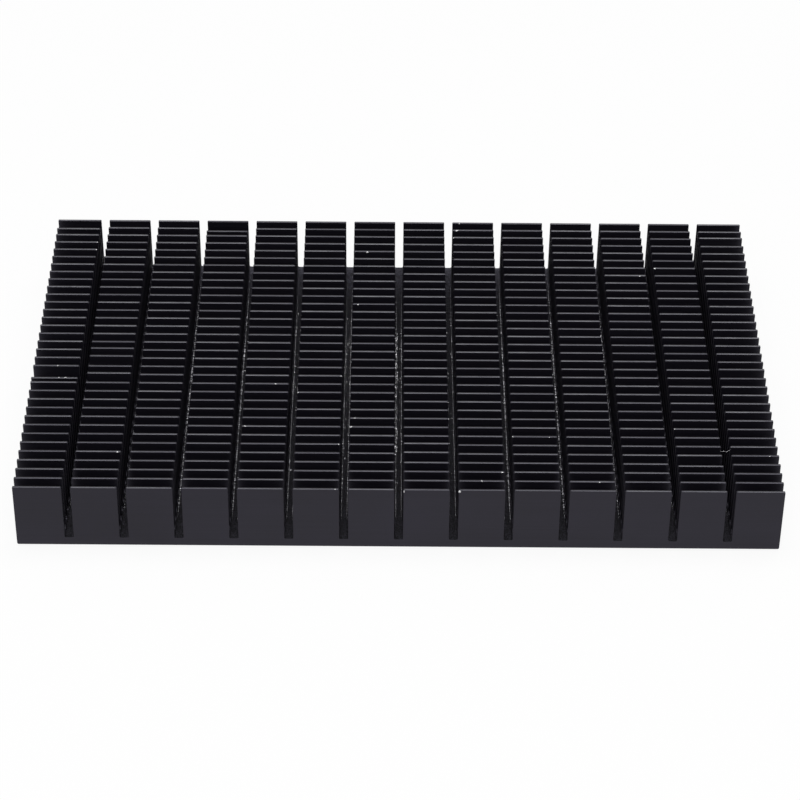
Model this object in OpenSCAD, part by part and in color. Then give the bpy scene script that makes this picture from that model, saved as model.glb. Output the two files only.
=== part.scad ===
// Cross-cut heat sink: one length of black anodised aluminium extrusion.
// A comb of thin fins stands on a flat base, and a gang of saw cuts across the fins
// leaves rows of short blades. Everything is in millimetres, the underside is at Z = 0,
// the fins run along X and the front is towards -Y.

/* [Overall] */
// Length along the fins
sink_length = 150; // [80:1:300]
// Depth across the fins
sink_depth = 93; // [75:1:150]
// Height from the underside to the fin tips
sink_height = 14.5; // [9:0.1:30]

/* [Base and fins] */
// Thickness of the base under the gaps
base_thickness = 2.4; // [1.5:0.1:5]
// Number of fins across the depth
fin_count = 34; // [26:1:40]
// Thickness of a fin where it leaves the base
fin_root = 0.95; // [0.7:0.05:1.3]
// Thickness of a fin at its tip
fin_tip = 0.5; // [0.4:0.05:0.9]
// Radius of the crown on each tip
tip_crown = 0.45; // [0.4:0.05:1.5]
// Radius of the hollow at the bottom of each gap
gap_hollow = 1.05; // [0.8:0.05:2]

/* [Saw cuts] */
// Number of cuts across the fins
cut_count = 13; // [3:1:18]
// Width of a cut
cut_width = 1.8; // [1.2:0.1:3]
// Length of the first and the last block, outside the cuts
end_block = 9.45; // [4:0.05:20]
// Depth of a cut below the bottom of the gaps
cut_bite = 0.35; // [0.1:0.05:0.8]
// Radius in the floor corners of a cut, no more than its depth below the gaps
cut_corner = 0.3; // [0.1:0.05:0.6]
// Corner broken off the blade ends beside a cut
tip_break = 0.2; // [0.05:0.05:0.4]

/* [Edges] */
// Radius along the lower front and back edges
foot_round = 0.4; // [0.1:0.05:1]
// Radius along the lower edges of the two sawn ends
end_round = 0.6; // [0.1:0.05:1]

/* [Condition] */
// Lean the blades that were knocked
knocked_blades = true; // [true, false]
// Height above the bottom of the gaps where a knocked blade starts to lean
knock_height = 1.4; // [1:0.1:3]

/* [Hidden] */

// Knocked blades: block from the left, fin from the front, lean at the tip in fin pitches
KNOCKED = [
    [1, 14, -0.45],
    [1, 33, -0.15],
    [2, 14, 0.15],
    [2, 16, 0.25],
    [2, 17, 0.2],
    [4, 33, -0.35],
    [8, 5, 0.15],
    [8, 6, 0.15],
    [8, 17, 0.1],
    [13, 4, -0.2],
    [13, 16, 0.15],
    [14, 15, 0.1],
    [14, 32, 0.15],
];

// Least radius of a crown, as a share of the tip's thickness
crown_share = 0.6;
// Least radius of a hollow, as a share of the gap's width
hollow_share = 0.55;
// Largest floor corner, as a share of the room that the cut has for it
corner_share = 0.9;
// How far a knocked blade is drawn past its block before the saw trims it, as a share of the cut
spill_share = 0.4;

// Fins
fin_pitch = (sink_depth - fin_root) / (fin_count - 1);
fin_taper = (fin_root - fin_tip) / (sink_height - base_thickness);
crown_r = max(tip_crown, crown_share * fin_tip);
gap_root = fin_pitch - fin_root;
hollow_r = max(gap_hollow, hollow_share * gap_root);

// Cuts
cut_pitch = (sink_length - 2 * end_block - cut_width) / (cut_count - 1);
cut_floor = base_thickness - cut_bite;

// Knocks
knock_z = base_thickness + knock_height;
knock_ledge = 0.02;
knock_root = 0.5;

// How far a cutter runs past the metal that it cuts
past = 1;
arc_steps = 4;

// Points on an arc round [x, y], from one angle to another
function arc(x, y, r, from, to) =
    [for (i = [0:arc_steps]) let (a = from + (to - from) * i / arc_steps) [x + r * cos(a), y + r * sin(a)]];

// Middle of fin k, counted from 1 at the front
function fin_y(k) = -sink_depth / 2 + fin_root / 2 + (k - 1) * fin_pitch;

// Thickness of an upright fin at height z
function fin_t(z) = fin_root - fin_taper * (z - base_thickness);

// Middle of cut i, counted from 1 at the left
function cut_x(i) = (cut_width - sink_length) / 2 + end_block + (i - 1) * cut_pitch;

// The two ends of block b, counted from 1 at the left
function block_left(b) = b == 1 ? -sink_length / 2 : cut_x(b - 1) + cut_width / 2;
function block_right(b) = b == cut_count + 1 ? sink_length / 2 : cut_x(b) - cut_width / 2;

// Keeps a tip at the given height under a crown at y
module under_crown(y, top) {
    translate([y, top - crown_r]) circle(r = crown_r, $fn = 48);
}

// One gap between two fins: tapered walls over a hollow bottom
module gap() {
    low = base_thickness;
    high = sink_height + past;
    half_low = (fin_pitch - fin_t(low)) / 2;
    half_high = (fin_pitch - fin_t(high)) / 2;
    intersection() {
        polygon([
            [-half_low, low - past],
            [half_low, low - past],
            [half_low, low],
            [half_high, high],
            [-half_high, high],
            [-half_low, low],
        ]);
        union() {
            translate([0, low + hollow_r]) circle(r = hollow_r, $fn = 96);
            translate([-fin_pitch, low + hollow_r]) square([2 * fin_pitch, high]);
        }
    }
}

// The extrusion's outline: a bar with its two lower edges rounded, whose front and back
// taper with the end fins
module bar_outline() {
    half = sink_depth / 2;
    half_top = half - (fin_root - fin_tip) / 2;
    polygon(concat(
        arc(-half + foot_round, foot_round, foot_round, 180, 270),
        arc(half - foot_round, foot_round, foot_round, 270, 360),
        [
            [half, base_thickness],
            [half_top, sink_height],
            [-half_top, sink_height],
            [-half, base_thickness],
        ]
    ));
}

// Section across the fins
module section() {
    intersection() {
        difference() {
            bar_outline();
            for (k = [1:fin_count - 1]) translate([fin_y(k) + fin_pitch / 2, 0]) gap();
        }
        union() {
            translate([-sink_depth / 2 - past, -past])
                square([sink_depth + 2 * past, sink_height - crown_r + past]);
            for (k = [1:fin_count]) under_crown(fin_y(k), sink_height);
        }
    }
}

// Section of a blade that leans by the given distance at its tip
module leaning_section(lean) {
    low = fin_t(knock_z) / 2 - knock_ledge;
    high = fin_tip / 2;
    reach = sink_height - knock_z;
    drop = reach - sqrt(reach * reach - lean * lean);
    intersection() {
        polygon([
            [-low / 2, knock_z - knock_root],
            [low / 2, knock_z - knock_root],
            [low, knock_z],
            [lean + high, sink_height],
            [lean - high, sink_height],
            [-low, knock_z],
        ]);
        union() {
            translate([-fin_pitch, 0]) square([2 * fin_pitch, sink_height - drop - crown_r]);
            under_crown(lean, sink_height - drop);
        }
    }
}

// Lays a section out along X
module along_x(from, length) {
    translate([from, 0, 0]) rotate([90, 0, 90]) linear_extrude(height = length) children();
}

// The bar with its knocked blades leaning
module bar() {
    spill = spill_share * cut_width;
    tall = sink_height - knock_z + past;
    knocks = [for (b = KNOCKED) if (knocked_blades && b[0] <= cut_count + 1 && b[1] < fin_count) b];
    difference() {
        along_x(-sink_length / 2, sink_length) section();
        for (b = knocks)
            translate([block_left(b[0]) - spill, fin_y(b[1]) - fin_pitch / 2, knock_z])
                cube([block_right(b[0]) - block_left(b[0]) + 2 * spill, fin_pitch, tall]);
    }
    for (b = knocks)
        translate([0, fin_y(b[1]), 0])
            along_x(block_left(b[0]) - spill / 2, block_right(b[0]) - block_left(b[0]) + spill)
                leaning_section(b[2] * fin_pitch);
}

// One saw cut: round floor corners, and a mouth that opens where the blade ends are broken
module cut() {
    half = cut_width / 2;
    corner = min(cut_corner, corner_share * cut_bite, corner_share * half);
    mouth = half + tip_break;
    polygon(concat(
        arc(-half + corner, cut_floor + corner, corner, 180, 270),
        arc(half - corner, cut_floor + corner, corner, 270, 360),
        [
            [half, sink_height - tip_break],
            [mouth, sink_height],
            [mouth, sink_height + past],
            [-mouth, sink_height + past],
            [-mouth, sink_height],
            [-half, sink_height - tip_break],
        ]
    ));
}

// Side view of the sawn bar, seen across the fins
module sawn_side() {
    half = sink_length / 2;
    difference() {
        polygon(concat(
            arc(-half + end_round, end_round, end_round, 180, 270),
            arc(half - end_round, end_round, end_round, 270, 360),
            [
                [half, sink_height - tip_break],
                [half - tip_break, sink_height],
                [half - tip_break, sink_height + past],
                [-half + tip_break, sink_height + past],
                [-half + tip_break, sink_height],
                [-half, sink_height - tip_break],
            ]
        ));
        for (i = [1:cut_count]) translate([cut_x(i), 0]) cut();
    }
}

module heat_sink() {
    color("#333238")
        intersection() {
            bar();
            translate([0, sink_depth / 2 + past, 0]) rotate([90, 0, 0])
                linear_extrude(height = sink_depth + 2 * past) sawn_side();
        }
}

heat_sink();
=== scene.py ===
"""Cross-cut heat sink: the looks of one length of black anodised extrusion, in metres."""

import math

import bpy
from mathutils import Matrix, Vector


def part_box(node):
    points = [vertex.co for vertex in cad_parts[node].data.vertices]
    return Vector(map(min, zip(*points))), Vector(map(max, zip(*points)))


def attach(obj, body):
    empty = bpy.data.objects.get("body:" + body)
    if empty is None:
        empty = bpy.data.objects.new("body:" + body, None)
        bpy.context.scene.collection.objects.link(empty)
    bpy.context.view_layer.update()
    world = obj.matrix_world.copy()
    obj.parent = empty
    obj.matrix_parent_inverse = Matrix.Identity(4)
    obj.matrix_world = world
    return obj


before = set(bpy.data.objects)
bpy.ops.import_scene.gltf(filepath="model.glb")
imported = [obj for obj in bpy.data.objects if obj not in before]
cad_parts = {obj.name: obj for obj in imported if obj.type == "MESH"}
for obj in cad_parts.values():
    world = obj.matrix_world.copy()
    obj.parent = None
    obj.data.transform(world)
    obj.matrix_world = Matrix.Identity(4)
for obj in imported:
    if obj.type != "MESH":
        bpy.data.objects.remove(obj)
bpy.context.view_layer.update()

MM = 0.001
low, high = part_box("heat_sink")
LENGTH, DEPTH, HEIGHT = high - low

# The sink's own sizes
FINS = 34
FIN_ROOT = 0.95 * MM
FIN_PITCH = (DEPTH - FIN_ROOT) / (FINS - 1)
GAP_BOTTOM = 2.4 * MM
CUTS = 13
CUT_WIDTH = 1.8 * MM
CUT_FLOOR = 2.05 * MM
END_BLOCK = 9.45 * MM
CUT_PITCH = (LENGTH - 2 * END_BLOCK - CUT_WIDTH) / (CUTS - 1)
FIRST_CUT = (CUT_WIDTH - LENGTH) / 2 + END_BLOCK

# The saw, and how far from the walls of a cut it left its burr
SAW_RADIUS = 52 * MM
BURR_INSET = 0.35 * MM

# The cut with the most crumbs, the torn one, and the fin beside the curl of swarf
CRUMBLED_CUT = 6
TORN_CUT = 7
CURL_FIN = 6

# Nicks on the tips: block from the left, fin from the front, share along the block, and the
# nick's length and height in mm
NICKS = [
    (1, 15, 0.53, 0.4, 0.06),
    (1, 13.55, 0.60, 0.25, 0.04),
    (1, 13.55, 0.74, 0.5, 0.04),
    (1, 30, 0.98, 0.25, 0.1),
    (1, 31, 0.98, 0.3, 0.12),
    (2, 5, 0.92, 0.5, 0.25),
    (5, 8, 0.09, 0.9, 0.03),
    (5, 13, 0.70, 0.4, 0.08),
    (6, 1, 0.92, 0.2, 0.05),
    (6, 6, 0.97, 0.25, 0.1),
    (6, 12, 0.02, 0.25, 0.08),
    (6, 14, 0.98, 0.25, 0.15),
    (7, 8, 0.03, 0.6, 0.06),
    (7, 9, 0.11, 0.6, 0.02),
    (7, 23, 0.13, 0.4, 0.3),
    (7, 30, 0.33, 0.6, 0.45),
    (8, 1, 0.01, 0.25, 0.7),
    (9, 1, 0.01, 0.55, 0.6),
    (9, 2, 0.50, 0.5, 0.03),
    (9, 3, 0.95, 0.6, 0.12),
    (9, 32, 0.02, 0.4, 0.3),
    (9, 33, 0.10, 0.8, 0.25),
    (9, 34, 0.17, 0.3, 0.2),
    (10, 7, 0.02, 0.25, 0.05),
    (10, 7, 0.83, 0.2, 0.3),
    (11, 1.95, 0.65, 0.3, 0.06),
    (12, 26.95, 0.85, 0.35, 0.1),
    (13, 8, 0.03, 0.25, 0.06),
    (13, 28, 0.03, 0.45, 0.15),
    (14, 5, 0.80, 0.25, 0.12),
]

# How far a nick is set before the fin's middle and how far it goes across the fin, in mm, and the
# share of its height by which it is set further forward
NICK_FORWARD = 0.07
NICK_ACROSS = 0.3
NICK_FORWARD_SHARE = 0.35

# The curl of swarf caught in the last cut, and its split end: mm from the cut's middle, the fin's
# middle and the tips
CURL = [
    (-1.05, -0.3, -0.75),
    (-0.85, -0.4, -1.05),
    (-0.4, -0.45, -0.85),
    (-0.05, -0.45, -0.95),
    (0.25, -0.4, -1.05),
    (0.95, -0.3, -0.6),
]
SPLIT = (-1.05, -0.3, -1.55)

# The share of the paper's look that is plain white, and the light that the surround gives, which
# is 1 where it is seen
PAPER_WHITE = 0.9
SURROUND_LIGHT = 0.32


def cut_x(number):
    """Middle of a cut, counted from 1 at the left."""
    return FIRST_CUT + (number - 1) * CUT_PITCH


def fin_y(number):
    """Middle of a fin, counted from 1 at the front."""
    return (FIN_ROOT - DEPTH) / 2 + (number - 1) * FIN_PITCH


def linear(colour):
    """The linear RGBA of an sRGB hex colour."""
    parts = [int(colour[i:i + 2], 16) / 255 for i in (1, 3, 5)]
    return [c / 12.92 if c <= 0.04045 else ((c + 0.055) / 1.055) ** 2.4 for c in parts] + [1.0]


# Nodes


def add(tree, kind, inputs=None, **settings):
    """Adds a node with its settings.

    Each input gets a value, or a link from a socket or from a node's first output.
    """
    node = tree.nodes.new(kind)
    for name, value in settings.items():
        setattr(node, name, value)
    for key, value in (inputs or {}).items():
        socket = node.inputs[key] if isinstance(key, int) else next(
            s for s in node.inputs if s.enabled and s.name == key)
        if isinstance(value, bpy.types.Node):
            value = next(s for s in value.outputs if s.enabled)
        if isinstance(value, bpy.types.NodeSocket):
            tree.links.new(value, socket)
        else:
            socket.default_value = value
    return node


def calc(tree, operation, *values):
    """Adds a sum."""
    return add(tree, "ShaderNodeMath", dict(enumerate(values)), operation=operation)


def vector_calc(tree, operation, *values):
    """Adds a sum with vectors."""
    return add(tree, "ShaderNodeVectorMath", dict(enumerate(values)), operation=operation)


def scaled(tree, vector, scale):
    """Adds a vector's product with a number."""
    return add(tree, "ShaderNodeVectorMath", {0: vector, "Scale": scale}, operation="SCALE")


def ramp(tree, value, start, end, first=0.0, last=1.0):
    """Adds a number that goes from first to last while a value goes from start to end."""
    return add(tree, "ShaderNodeMapRange", {
        "Value": value, "From Min": start, "From Max": end, "To Min": first, "To Max": last})


def mix(tree, share, first, second):
    """Adds a mix of two numbers."""
    return add(tree, "ShaderNodeMix", {"Factor": share, "A": first, "B": second})


def blend(tree, share, first, second, **settings):
    """Adds a mix of two colours."""
    return add(tree, "ShaderNodeMix", {
        "Factor": share, "A": first, "B": second}, data_type="RGBA", **settings)


def stretched(tree, place, *sizes):
    """Adds coordinates in which noise of size 1 has the given sizes along X, Y and Z."""
    return add(tree, "ShaderNodeMapping", {"Vector": place, "Scale": [1 / s for s in sizes]})


def noise(tree, place, size=1.0, detail=2.0, roughness=0.5, seed=None):
    """Adds noise of the given size."""
    inputs = {"Vector": place, "Scale": 1 / size, "Detail": detail, "Roughness": roughness}
    if seed is None:
        return add(tree, "ShaderNodeTexNoise", inputs)
    return add(tree, "ShaderNodeTexNoise", {**inputs, "W": seed}, noise_dimensions="4D")


# Materials


def finish_of(name):
    """A new material and its empty tree."""
    material = bpy.data.materials.new(name)
    material.use_nodes = True
    tree = material.node_tree
    tree.nodes.clear()
    return material, tree


def surface(tree, inputs):
    """Ends a material's tree with one shader."""
    shader = add(tree, "ShaderNodeBsdfPrincipled", inputs)
    add(tree, "ShaderNodeOutputMaterial", {"Surface": shader})


def black_anodised_aluminium():
    """Extruded aluminium, sawn, then dyed black in the anodising bath.

    The eye sees a satin, faintly blue black: drawn lines along the fins from the die, a matt grain
    where the saw went, and tips painted paler, partly as wear from handling and partly as a
    painted highlight that grows towards the back. The last stretch of the cut floors is painted
    paler, as painted light from behind. The dyed oxide film scatters some light of its own, so the
    surface is only partly metallic.
    """
    material, tree = finish_of("black_anodised_aluminium")
    coordinates = add(tree, "ShaderNodeTexCoord")
    place = coordinates.outputs["Object"]
    x, y, z = add(tree, "ShaderNodeSeparateXYZ", {0: place}).outputs
    facing = add(tree, "ShaderNodeSeparateXYZ", {0: coordinates.outputs["Normal"]})

    # Where the saw went: the blade ends, and the floors of the cuts
    sideways = calc(tree, "ABSOLUTE", facing.outputs["X"])
    blade_end = ramp(tree, sideways, 0.6, 0.8)
    upwards = calc(tree, "GREATER_THAN", facing.outputs["Z"], 0.3)
    below_gaps = calc(tree, "LESS_THAN", z, GAP_BOTTOM - 0.02 * MM)
    floor = calc(tree, "MULTIPLY", upwards, below_gaps)
    sawn = calc(tree, "MAXIMUM", blade_end, floor)

    # Die lines along the fins, really under 0.1 mm apart and drawn 0.4 mm apart to show
    drawn = stretched(tree, place, 60 * MM, 0.4 * MM, 0.4 * MM)
    die_lines = noise(tree, drawn, detail=3.0, roughness=0.6)

    # The dye takes unevenly, in clouds about 14 mm across
    cloud = noise(tree, place, 14 * MM, detail=3.0, roughness=0.55)

    # Saw marks on the blade ends: arcs of the saw's radius, 0.5 mm apart
    below_hub = calc(tree, "SUBTRACT", SAW_RADIUS, z)
    below_hub_2 = calc(tree, "MULTIPLY", below_hub, below_hub)
    reach_2 = calc(tree, "SUBTRACT", SAW_RADIUS ** 2, below_hub_2)
    reach = calc(tree, "SQRT", reach_2)
    arc = calc(tree, "SUBTRACT", y, reach)
    arcs = add(tree, "ShaderNodeTexNoise", {
        "W": arc, "Scale": 1 / (0.5 * MM), "Detail": 2.0, "Roughness": 0.6}, noise_dimensions="1D")

    # Scores along the floors of the cuts, 0.15 mm apart
    scored = stretched(tree, place, 0.15 * MM, 9 * MM, 0.5 * MM)
    scores = noise(tree, scored, roughness=0.6)
    saw_marks = mix(tree, floor, arcs, scores)

    # Grit in the floors of the cuts, really under 0.1 mm across and drawn 0.2 mm across to show
    grit = noise(tree, place, 0.2 * MM, detail=1.0)
    gritty = ramp(tree, grit, 0.4, 0.75, 0.1, 3.4)

    # Painted light: the last stretch of the floors, towards the back, is painted paler as if lit
    # from behind
    painted_back_light = ramp(tree, y, DEPTH / 2 - 13 * MM, DEPTH / 2, 1.0, 3.5)
    grit_and_painted_light = calc(tree, "MULTIPLY", gritty, painted_back_light)

    # One number for each blade, so that neighbours differ a little
    block = calc(tree, "MULTIPLY_ADD", x, 1 / CUT_PITCH, -FIRST_CUT / CUT_PITCH)
    fin = calc(tree, "MULTIPLY_ADD", y, 1 / FIN_PITCH, 0.5 - fin_y(1) / FIN_PITCH)
    blade = add(tree, "ShaderNodeCombineXYZ", {
        "X": calc(tree, "FLOOR", block), "Y": calc(tree, "FLOOR", fin)})
    chance = add(tree, "ShaderNodeTexWhiteNoise", {"Vector": blade}, noise_dimensions="2D")

    # Rubbed tips, partly wear and partly painted highlight: the top of each crown is painted
    # paler, more on some blades and, as a painted highlight, towards the back, in stretches about
    # 3 mm long
    tall = calc(tree, "GREATER_THAN", z, HEIGHT - 0.3 * MM)
    level = ramp(tree, facing.outputs["Z"], 0.84, 0.95)
    tip = calc(tree, "MULTIPLY", tall, level)
    stretch = noise(tree, place, 3 * MM)
    uneven = calc(tree, "MULTIPLY_ADD", stretch, chance, 0.15)
    highlight_to_back = ramp(tree, y, -DEPTH / 2, DEPTH / 2, 0.65, 1.45)
    rub_and_highlight = calc(tree, "MULTIPLY", uneven, highlight_to_back)
    wear_and_highlight = calc(tree, "MULTIPLY", tip, rub_and_highlight)

    dye = blend(tree, cloud, linear("#222028"), linear("#272530"))
    lined = ramp(tree, die_lines, 0.25, 0.75, 0.88, 1.12)
    dyed = blend(tree, 1.0, dye, lined, blend_type="MULTIPLY")
    ends = blend(tree, saw_marks, linear("#2a292f"), linear("#46444d"))
    scored_floor = blend(tree, saw_marks, linear("#17161b"), linear("#2a2930"))
    # The floors carry their grit and the painted light from behind
    floors = blend(tree, 1.0, scored_floor, grit_and_painted_light, blend_type="MULTIPLY")
    grain = blend(tree, floor, ends, floors)
    metal = blend(tree, sawn, dyed, grain)
    # Painted highlight and wear: the crown tops are painted paler
    worn_and_highlit = blend(tree, wear_and_highlight, metal, linear("#5c5c60"))

    satin = ramp(tree, die_lines, 0.2, 0.8, 0.34, 0.46)
    matt = ramp(tree, saw_marks, 0.2, 0.8, 0.62, 0.8)
    dull = mix(tree, sawn, satin, matt)
    roughness = mix(tree, tip, dull, 0.16)
    relief = mix(tree, sawn, die_lines, saw_marks)
    deep = ramp(tree, sawn, 0.0, 1.0, 0.004 * MM, 0.012 * MM)
    bump = add(tree, "ShaderNodeBump", {"Height": relief, "Distance": deep})
    surface(tree, {"Base Color": worn_and_highlit, "Metallic": 0.6, "Roughness": roughness, "Normal": bump})
    return material


def torn_aluminium():
    """Aluminium torn by the saw and thinly dyed.

    The eye sees a ragged dark grey, bright where a facet faces the light.
    """
    material, tree = finish_of("torn_aluminium")
    place = add(tree, "ShaderNodeTexCoord").outputs["Object"]
    thin = noise(tree, place, 1.2 * MM, detail=3.0, roughness=0.7)
    cover = ramp(tree, thin, 0.35, 0.65)
    colour = blend(tree, cover, linear("#5a595d"), linear("#8c8b8f"))
    roughness = ramp(tree, thin, 0.0, 1.0, 0.32, 0.2)
    surface(tree, {"Base Color": colour, "Metallic": 1.0, "Roughness": roughness})
    return material


def bright_swarf():
    """Undyed swarf, smooth where the saw sheared it: it flashes where it faces the light."""
    material, tree = finish_of("bright_swarf")
    place = add(tree, "ShaderNodeTexCoord").outputs["Object"]
    sheared = noise(tree, place, 0.6 * MM)
    colour = blend(tree, sheared, linear("#8f8e91"), linear("#d0cfd2"))
    roughness = ramp(tree, sheared, 0.0, 1.0, 0.3, 0.15)
    surface(tree, {"Base Color": colour, "Metallic": 1.0, "Roughness": roughness})
    return material


def bare_aluminium():
    """Aluminium laid bare by a knock: a small bright smear with fine scratches in it."""
    material, tree = finish_of("bare_aluminium")
    place = add(tree, "ShaderNodeTexCoord").outputs["Object"]
    scratches = noise(tree, stretched(tree, place, 0.5 * MM, 0.06 * MM, 0.06 * MM))
    colour = blend(tree, scratches, linear("#b9b9bb"), linear("#e2e2e2"))
    roughness = ramp(tree, scratches, 0.0, 1.0, 0.25, 0.45)
    bump = add(tree, "ShaderNodeBump", {"Height": scratches, "Distance": 0.008 * MM})
    surface(tree, {"Base Color": colour, "Metallic": 1.0, "Roughness": roughness, "Normal": bump})
    return material


# Geometry Nodes


def new_tree(name, sizes):
    """An empty tree with named inputs, and those inputs' sockets."""
    tree = bpy.data.node_groups.new(name, "GeometryNodeTree")
    kinds = {
        float: "NodeSocketFloat", int: "NodeSocketInt", bpy.types.Material: "NodeSocketMaterial"}
    tree.interface.new_socket("Geometry", in_out="INPUT", socket_type="NodeSocketGeometry")
    for label, value in sizes.items():
        tree.interface.new_socket(label, in_out="INPUT", socket_type=kinds[type(value)])
    tree.interface.new_socket("Geometry", in_out="OUTPUT", socket_type="NodeSocketGeometry")
    return tree, add(tree, "NodeGroupInput").outputs


def end_tree(tree, geometry, metal, faceted=False):
    """Ends a tree with a plain mesh in the given metal."""
    real = add(tree, "GeometryNodeRealizeInstances", {"Geometry": geometry})
    if faceted:
        real = add(tree, "GeometryNodeSetShadeSmooth", {"Geometry": real, "Shade Smooth": False})
    finished = add(tree, "GeometryNodeSetMaterial", {"Geometry": real, "Material": metal})
    add(tree, "NodeGroupOutput", {"Geometry": finished})


def grow(name, tree, sizes, points, edges=(), spreads=()):
    """Grows a plain mesh from the given points by a tree, and lets it ride on the sink."""
    mesh = bpy.data.meshes.new(name)
    mesh.from_pydata(points, edges, [])
    spread = mesh.attributes.new("spread", "FLOAT_VECTOR", "POINT")
    for point, size in zip(spread.data, spreads):
        point.vector = size
    piece = bpy.data.objects.new(name, mesh)
    bpy.context.collection.objects.link(piece)
    modifier = piece.modifiers.new(name, "NODES")
    modifier.node_group = tree
    for item in tree.interface.items_tree:
        if item.in_out == "INPUT" and item.name in sizes:
            modifier[item.identifier] = sizes[item.name]
    grown = piece.evaluated_get(bpy.context.evaluated_depsgraph_get())
    made = bpy.data.meshes.new_from_object(grown)
    piece.modifiers.clear()
    piece.data = made
    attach(piece, "root")


def wobble(tree, place, size, detail, seed):
    """Adds a vector that wavers about zero, by a half at most."""
    wavering = noise(tree, place, size, detail, seed=seed)
    return vector_calc(tree, "SUBTRACT", wavering.outputs["Color"], (0.5, 0.5, 0.5))


def random_vector(tree, least, most, seed):
    """Adds a random vector for each point."""
    return add(tree, "FunctionNodeRandomValue", {
        "Min": least, "Max": most, "Seed": seed}, data_type="FLOAT_VECTOR")


def random_choice(tree, share, seed):
    """Adds a random choice of a share of the points."""
    return add(tree, "FunctionNodeRandomValue", {
        "Probability": share, "Seed": seed}, data_type="BOOLEAN")


def cut_middles():
    """A point in the middle of each cut."""
    return [(cut_x(i), 0.0, 0.0) for i in range(1, CUTS + 1)]


def cut_sides(tree, size):
    """Adds two stepped lines along the floor of each cut, one on either side."""
    start = add(tree, "ShaderNodeCombineXYZ", {"Y": size["Front end"], "Z": size["Floor"]})
    end = add(tree, "ShaderNodeCombineXYZ", {"Y": size["Back end"], "Z": size["Floor"]})
    line = add(tree, "GeometryNodeCurvePrimitiveLine", {"Start": start, "End": end})
    stepped = add(tree, "GeometryNodeResampleCurve", {
        "Curve": line, "Length": size["Step"]}, mode="LENGTH")
    left = calc(tree, "MULTIPLY", size["Off middle"], -1.0)
    across = calc(tree, "MULTIPLY", size["Off middle"], 2.0)
    sides = add(tree, "GeometryNodeMeshLine", {
        "Count": 2,
        "Start Location": add(tree, "ShaderNodeCombineXYZ", {"X": left}),
        "Offset": add(tree, "ShaderNodeCombineXYZ", {"X": across})})
    pairs = add(tree, "GeometryNodeInstanceOnPoints", {
        "Points": size["Geometry"], "Instance": sides})
    feet = add(tree, "GeometryNodeRealizeInstances", {"Geometry": pairs})
    lines = add(tree, "GeometryNodeInstanceOnPoints", {"Points": feet, "Instance": stepped})
    return add(tree, "GeometryNodeRealizeInstances", {"Geometry": lines})


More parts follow.
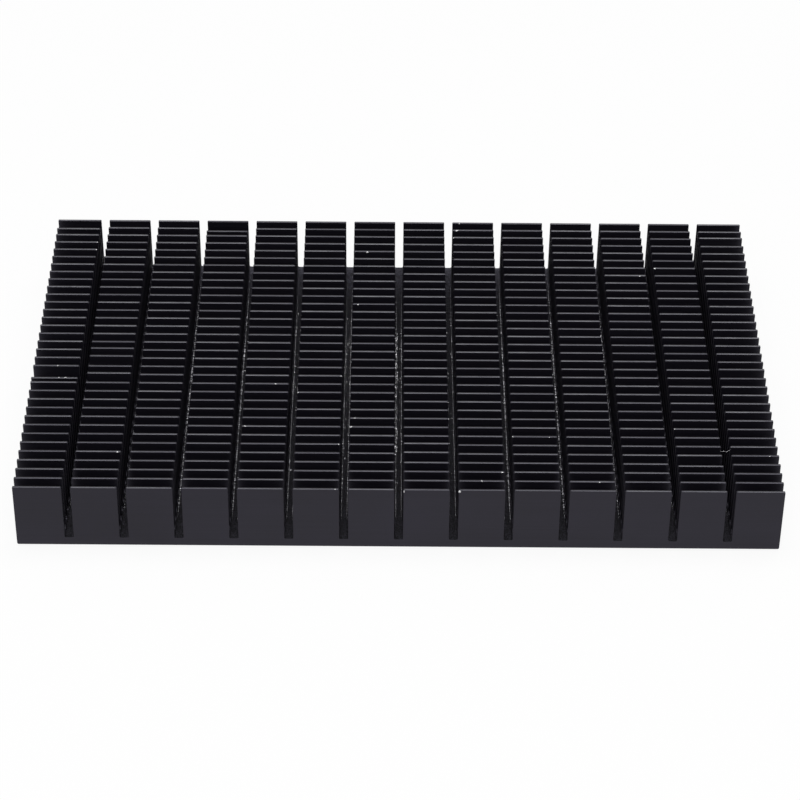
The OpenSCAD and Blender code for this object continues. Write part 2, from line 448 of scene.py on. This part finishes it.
def saw_burr(metal):
    """The ragged ridges that the saw left along both sides of each cut's floor."""
    sizes = {
        "Off middle": CUT_WIDTH / 2 - BURR_INSET,
        "Front end": -DEPTH / 2 + 2.0 * FIN_PITCH,
        "Back end": DEPTH / 2 - 1.2 * FIN_PITCH,
        "Full from": -36.0 * MM,
        "Full to": 17.0 * MM,
        "Straight to": -25.0 * MM,
        "Ragged from": 0.0,
        "Lightest at": -4.0 * MM,
        "Light within": 15.0 * MM,
        "Heavy beyond": 26.0 * MM,
        "Waning from": 40.0 * MM,
        "Waning to": 48.0 * MM,
        "Floor": CUT_FLOOR,
        "Step": 0.15 * MM,
        "Width": 0.11 * MM,
        "Jag": 0.06 * MM,
        "Seed": 5.0,
        "Metal": metal,
    }
    tree, size = new_tree("saw_burr", sizes)
    ridges = cut_sides(tree, size)
    place = add(tree, "GeometryNodeInputPosition")
    x, y, _ = add(tree, "ShaderNodeSeparateXYZ", {0: place}).outputs

    # Each ridge is jagged, wanders and swells, less so towards the front, and is nearer the wall
    # away from the middle
    unruly = ramp(tree, y, size["Straight to"], size["Ragged from"], 0.6, 1.0)
    outward_share = (0.003, 0.0, 0.0)
    outward = vector_calc(tree, "MULTIPLY", place, outward_share)
    tooth = add(tree, "FunctionNodeRandomValue", {"Min": -1.0, "Max": 1.0, "Seed": 16})
    teeth = add(tree, "ShaderNodeCombineXYZ", {"Z": calc(tree, "MULTIPLY", tooth, size["Jag"])})
    wander = wobble(tree, place, 0.8 * MM, 3.0, size["Seed"])
    wander_size = (0.2 * MM, 0.0, 0.08 * MM)
    jagged = vector_calc(tree, "MULTIPLY_ADD", wander, wander_size, teeth)
    shift = vector_calc(tree, "ADD", outward, scaled(tree, jagged, unruly))
    wandering = add(tree, "GeometryNodeSetPosition", {"Geometry": ridges, "Offset": shift})
    upright = add(tree, "GeometryNodeSetCurveNormal", {"Curve": wandering}, mode="Z_UP")
    swell = noise(tree, place, 0.7 * MM, roughness=0.7, seed=size["Seed"])
    swelling = ramp(tree, swell, 0.35, 0.65, -0.6, 0.6)
    swollen = calc(tree, "MULTIPLY_ADD", swelling, unruly, 1.0)

    # The ridges are heavier in the cuts away from the middle, less so in the outermost ones
    aside = calc(tree, "ABSOLUTE", calc(tree, "SUBTRACT", x, size["Lightest at"]))
    heavy = ramp(tree, aside, size["Light within"], size["Heavy beyond"], 0.65, 1.8)
    outermost = ramp(tree, aside, size["Waning from"], size["Waning to"], 1.0, 0.6)
    heavier = calc(tree, "MULTIPLY", heavy, outermost)

    # In the right-hand cuts the left ridge is slight
    from_cut = calc(tree, "WRAP", x, FIRST_CUT + CUT_PITCH / 2, FIRST_CUT - CUT_PITCH / 2)
    left_side = calc(tree, "LESS_THAN", from_cut, FIRST_CUT)
    right_hand = calc(tree, "GREATER_THAN", x, CUT_PITCH / 2)
    inner = calc(tree, "MULTIPLY", left_side, right_hand)
    slight = ramp(tree, inner, 0.0, 1.0, 1.0, 0.3)
    weight = calc(tree, "MULTIPLY", heavier, slight)

    # Each ridge thins out towards its ends
    rise = ramp(tree, y, size["Front end"], size["Full from"], 0.1, 1.0)
    fall = ramp(tree, y, size["Full to"], size["Back end"], 1.0, 0.1)
    ends = calc(tree, "MULTIPLY", rise, fall)
    full = calc(tree, "MULTIPLY", swollen, weight)
    girth = calc(tree, "MULTIPLY", full, ends)
    section = add(tree, "GeometryNodeCurvePrimitiveQuadrilateral", {
        "Width": size["Width"], "Height": size["Width"]})
    ragged = add(tree, "GeometryNodeCurveToMesh", {
        "Curve": upright, "Profile Curve": section, "Scale": girth, "Fill Caps": True})
    end_tree(tree, ragged, size["Metal"], faceted=True)
    grow("saw_burr", tree, sizes, cut_middles())


def saw_crumbs(metal):
    """Crumbs on the floors of the cuts, and a torn stretch on the left side of the middle cut."""
    sizes = {
        "Off middle": CUT_WIDTH / 2 - BURR_INSET,
        "Front end": -DEPTH / 2 + 6.0 * FIN_PITCH,
        "Back end": DEPTH / 2 - 6.0 * FIN_PITCH,
        "Floor": CUT_FLOOR,
        "Step": 0.1 * MM,
        "Crumb": 0.066 * MM,
        "Thick within": 5.0 * MM,
        "Thin beyond": 19.0 * MM,
        "Torn at": cut_x(TORN_CUT) - 0.58 * MM,
        "Torn from": -20.0 * MM,
        "Torn to": 22.0 * MM,
        "Torn steps": 340,
        "Torn spread": 0.7,
        "Flake size": 1.05,
        "Seed": 5.0,
        "Metal": metal,
    }
    tree, size = new_tree("saw_crumbs", sizes)
    lines = cut_sides(tree, size)

    # Crumbs lie beside the ridges, in some stretches, thickest in the back half of one cut
    place = add(tree, "GeometryNodeInputPosition")
    stretch = noise(tree, place, 5 * MM, seed=size["Seed"])
    crumbled = ramp(tree, stretch, 0.25, 0.5)
    thickest = (cut_x(CRUMBLED_CUT), 12 * MM, CUT_FLOOR)
    away = vector_calc(tree, "DISTANCE", place, thickest)
    gathered = ramp(
        tree, away.outputs["Value"], size["Thick within"], size["Thin beyond"], 0.25, 0.06)
    picked = random_choice(tree, calc(tree, "MULTIPLY", crumbled, gathered), seed=11)
    strewn = random_vector(
        tree, (-0.45 * MM, -0.15 * MM, 0.0), (0.45 * MM, 0.15 * MM, 0.0), seed=14)
    strewn_by = add(tree, "GeometryNodeSetPosition", {"Geometry": lines, "Offset": strewn})

    # The torn stretch
    torn_from = add(tree, "ShaderNodeCombineXYZ", {
        "X": size["Torn at"], "Y": size["Torn from"], "Z": size["Floor"]})
    torn_to = add(tree, "ShaderNodeCombineXYZ", {
        "X": size["Torn at"], "Y": size["Torn to"], "Z": size["Floor"]})
    torn = add(tree, "GeometryNodeMeshLine", {
        "Count": size["Torn steps"], "Start Location": torn_from, "Offset": torn_to},
        mode="END_POINTS")
    torn_off = random_choice(tree, ramp(tree, stretch, 0.4, 0.5, 0.3, 1.0), seed=15)
    torn_by = add(tree, "GeometryNodeSetPosition", {
        "Geometry": torn, "Offset": scaled(tree, strewn, size["Torn spread"])})

    # A crumb is a five-sided chip, lifted towards the front by the saw
    crumb = add(tree, "GeometryNodeMeshCylinder", {
        "Vertices": 5, "Radius": size["Crumb"], "Depth": size["Crumb"]})
    turned = random_vector(tree, (0.0, -0.1, -0.15), (0.7, 0.1, 0.15), seed=12)
    turn = add(tree, "FunctionNodeEulerToRotation", {0: turned})
    spread = random_vector(tree, (0.5, 0.5, 1.0), (1.3, 1.5, 1.8), seed=13)
    crumbs = add(tree, "GeometryNodeInstanceOnPoints", {
        "Points": strewn_by, "Selection": picked, "Instance": crumb.outputs["Mesh"],
        "Rotation": turn, "Scale": spread})
    flakes = add(tree, "GeometryNodeInstanceOnPoints", {
        "Points": torn_by, "Selection": torn_off, "Instance": crumb.outputs["Mesh"],
        "Rotation": turn, "Scale": scaled(tree, spread, size["Flake size"])})
    both = add(tree, "GeometryNodeJoinGeometry", {"Geometry": crumbs})
    tree.links.new(flakes.outputs[0], both.inputs[0])
    end_tree(tree, both, size["Metal"], faceted=True)
    grow("saw_crumbs", tree, sizes, cut_middles())


def tip_nicks(metal):
    """Small bright smears where the tips were knocked."""
    sizes = {"Ragged": 0.08 * MM, "Top": HEIGHT, "Seed": 3.0, "Metal": metal}
    tree, size = new_tree("tip_nicks", sizes)
    smear = add(tree, "GeometryNodeMeshIcoSphere", {"Radius": 0.5, "Subdivisions": 2})
    spread = add(tree, "GeometryNodeInputNamedAttribute", {
        "Name": "spread"}, data_type="FLOAT_VECTOR")
    tilt = random_vector(tree, (-0.1, -0.2, -0.1), (0.2, 0.2, 0.1), seed=21)
    turn = add(tree, "FunctionNodeEulerToRotation", {0: tilt})
    set_down = add(tree, "GeometryNodeInstanceOnPoints", {
        "Points": size["Geometry"], "Instance": smear, "Rotation": turn, "Scale": spread})
    real = add(tree, "GeometryNodeRealizeInstances", {"Geometry": set_down})
    place = add(tree, "GeometryNodeInputPosition")
    shift = scaled(tree, wobble(tree, place, 0.18 * MM, 2.0, size["Seed"]), size["Ragged"])
    ragged = add(tree, "GeometryNodeSetPosition", {"Geometry": real, "Offset": shift})

    # Nothing stands above the tips
    limit = add(tree, "ShaderNodeCombineXYZ", {"X": LENGTH, "Y": DEPTH, "Z": size["Top"]})
    held = vector_calc(tree, "MINIMUM", place, limit)
    level = add(tree, "GeometryNodeSetPosition", {"Geometry": ragged, "Position": held})
    end_tree(tree, level, size["Metal"])

    points, spreads = [], []
    for block, fin, share, long, tall in NICKS:
        left = -LENGTH / 2 if block == 1 else cut_x(block - 1) + CUT_WIDTH / 2
        right = LENGTH / 2 if block == CUTS + 1 else cut_x(block) - CUT_WIDTH / 2
        forward = (NICK_FORWARD + NICK_FORWARD_SHARE * tall) * MM
        points.append((
            left + share * (right - left), fin_y(fin) - forward, HEIGHT - tall / 2 * MM))
        spreads.append((long * MM, NICK_ACROSS * MM, tall * MM))
    grow("tip_nicks", tree, sizes, points, spreads=spreads)


def swarf_curl(metal):
    """One curl of swarf that stayed caught across a cut."""
    sizes = {"Thickness": 0.042 * MM, "Metal": metal}
    tree, size = new_tree("swarf_curl", sizes)
    path = add(tree, "GeometryNodeMeshToCurve", {"Mesh": size["Geometry"]})
    smooth = add(tree, "GeometryNodeCurveSplineType", {"Curve": path}, spline_type="CATMULL_ROM")
    stepped = add(tree, "GeometryNodeResampleCurve", {"Curve": smooth, "Count": 32}, mode="COUNT")
    along = add(tree, "GeometryNodeSplineParameter")
    taper = ramp(tree, along.outputs["Factor"], 0.0, 1.0, 1.4, 0.7)
    section = add(tree, "GeometryNodeCurvePrimitiveCircle", {
        "Resolution": 6, "Radius": size["Thickness"]})
    solid = add(tree, "GeometryNodeCurveToMesh", {
        "Curve": stepped, "Profile Curve": section, "Scale": taper, "Fill Caps": True})
    end_tree(tree, solid, size["Metal"])

    points = [
        (cut_x(CUTS) + x * MM, fin_y(CURL_FIN) + y * MM, HEIGHT + z * MM)
        for x, y, z in CURL + [SPLIT]]
    edges = [(i, i + 1) for i in range(len(CURL) - 1)] + [(1, len(CURL))]
    grow("swarf_curl", tree, sizes, points, edges)


# Stage


def shown(tree):
    """Adds 1 for a ray that shows a surface to the viewer, and 0 for one that carries light."""
    path = add(tree, "ShaderNodeLightPath")
    seen = calc(tree, "MAXIMUM", path.outputs["Is Camera Ray"], path.outputs["Is Glossy Ray"])
    return calc(tree, "MAXIMUM", seen, path.outputs["Is Transmission Ray"])


def white_paper():
    """A sheet of white paper: even, matt and near white, with the sink's soft shadow on it."""
    material, tree = finish_of("white_paper")
    share = calc(tree, "MULTIPLY", shown(tree), PAPER_WHITE)
    paper = add(tree, "ShaderNodeBsdfDiffuse", {"Color": linear("#f4f4f4")})
    white = add(tree, "ShaderNodeEmission", {"Strength": 1.0})
    mixed = add(tree, "ShaderNodeMixShader", {0: share, 1: paper, 2: white})
    add(tree, "ShaderNodeOutputMaterial", {"Surface": mixed})
    return material


def soft_box(name, place, size, watts):
    """A soft box that looks at the sink."""
    lamp = bpy.data.lights.new(name, "AREA")
    lamp.shape = "RECTANGLE"
    lamp.size, lamp.size_y = size
    lamp.energy = watts
    box = bpy.data.objects.new(name, lamp)
    box.location = place
    box.rotation_euler = (-Vector(place)).to_track_quat("-Z", "Y").to_euler()
    bpy.context.scene.collection.objects.link(box)


def stage():
    """A white floor, a white surround and two soft boxes."""
    scene = bpy.context.scene
    scene.view_settings.view_transform = "Standard"
    half, under = 3.0, -0.05 * MM
    corners = [
        (-half, -half, under), (half, -half, under), (half, half, under), (-half, half, under)]
    sheet = bpy.data.meshes.new("paper")
    sheet.from_pydata(corners, [], [(0, 1, 2, 3)])
    sheet.materials.append(white_paper())
    paper = bpy.data.objects.new("paper", sheet)
    scene.collection.objects.link(paper)

    world = bpy.data.worlds.new("white_surround")
    world.use_nodes = True
    tree = world.node_tree
    tree.nodes.clear()
    level = ramp(tree, shown(tree), 0.0, 1.0, SURROUND_LIGHT, 1.0)
    light = add(tree, "ShaderNodeBackground", {"Strength": level})
    add(tree, "ShaderNodeOutputWorld", {"Surface": light})
    scene.world = world

    soft_box("overhead_box", place=(-0.03, 0.12, 0.9), size=(1.1, 0.5), watts=6.2)
    soft_box("front_box", place=(0.0, -0.69, 0.62), size=(0.6, 0.4), watts=2.6)


def camera():
    """The photograph's viewpoint: nearly square on, 38 degrees up, through a long lens."""
    elevation, azimuth, roll = math.radians(37.78), math.radians(-0.35), math.radians(0.62)
    target, distance = Vector((0.29 * MM, 0.0, 0.69 * MM)), 581.9 * MM
    back = Vector((
        math.sin(azimuth) * math.cos(elevation),
        -math.cos(azimuth) * math.cos(elevation),
        math.sin(elevation)))
    right = Vector((math.cos(azimuth), math.sin(azimuth), 0.0))
    up = back.cross(right)
    across = right * math.cos(roll) + up * math.sin(roll)
    upright = up * math.cos(roll) - right * math.sin(roll)
    eye = target + back * distance
    lens = bpy.data.cameras.new("camera")
    lens.sensor_width = 36.0
    lens.lens = 124.64
    lens.clip_start, lens.clip_end = 0.01, 20.0
    viewer = bpy.data.objects.new("camera", lens)
    viewer.matrix_world = Matrix((
        (across.x, upright.x, back.x, eye.x),
        (across.y, upright.y, back.y, eye.y),
        (across.z, upright.z, back.z, eye.z),
        (0.0, 0.0, 0.0, 1.0),
    ))
    bpy.context.scene.collection.objects.link(viewer)
    bpy.context.scene.camera = viewer


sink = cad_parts["heat_sink"]
sink.data.materials.clear()
sink.data.materials.append(black_anodised_aluminium())
swarf = bright_swarf()
saw_burr(torn_aluminium())
saw_crumbs(swarf)
tip_nicks(bare_aluminium())
swarf_curl(swarf)
stage()
camera()
